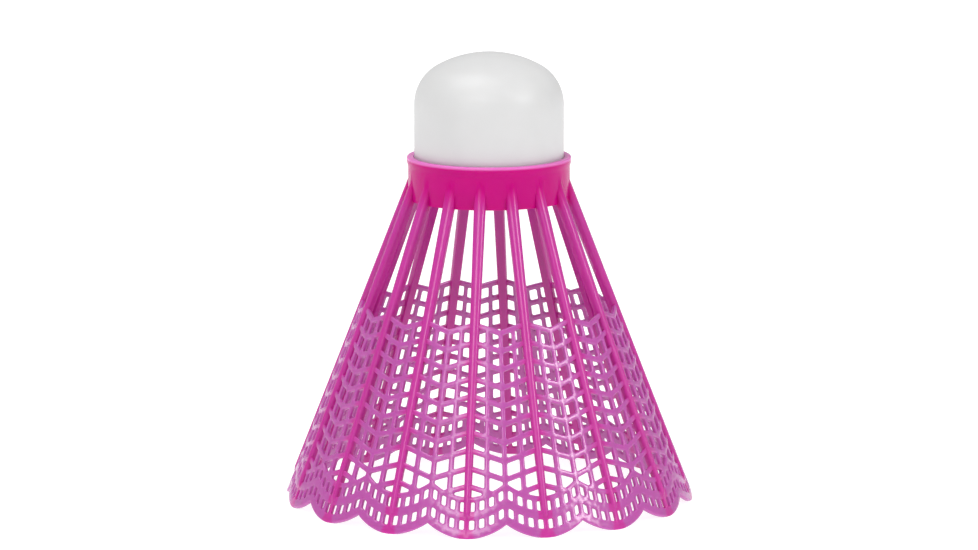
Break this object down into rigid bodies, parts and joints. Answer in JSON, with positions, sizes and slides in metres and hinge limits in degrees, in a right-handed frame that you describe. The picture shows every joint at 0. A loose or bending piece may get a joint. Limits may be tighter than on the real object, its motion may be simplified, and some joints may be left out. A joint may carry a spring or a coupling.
{
  "type": "badminton shuttlecock",
  "caption": "Moulded plastic badminton shuttlecock: a ribbed and netted conical skirt with a scalloped hem, and a white domed head snapped into its collar.",
  "frame": {"origin": "on the shuttlecock's axis, in the plane of the hem that it stands on", "axes": "+Z along the axis from the hem to the nose; +X through one rib"},
  "size_m": [0.0672, 0.0672, 0.0735],
  "materials": {
    "skirt_plastic": "satin, slightly see-through where thin",
    "head_plastic": "smooth satin",
    "core_foam": "closed-cell foam",
    "slug_steel": "plain cut"
  },
  "bodies": {
    "root": {"skirt": "skirt_plastic", "head_cap": "head_plastic", "head_core": "core_foam", "weight_slug": "slug_steel", "base_disc": "head_plastic"}
  },
  "joints": []
}
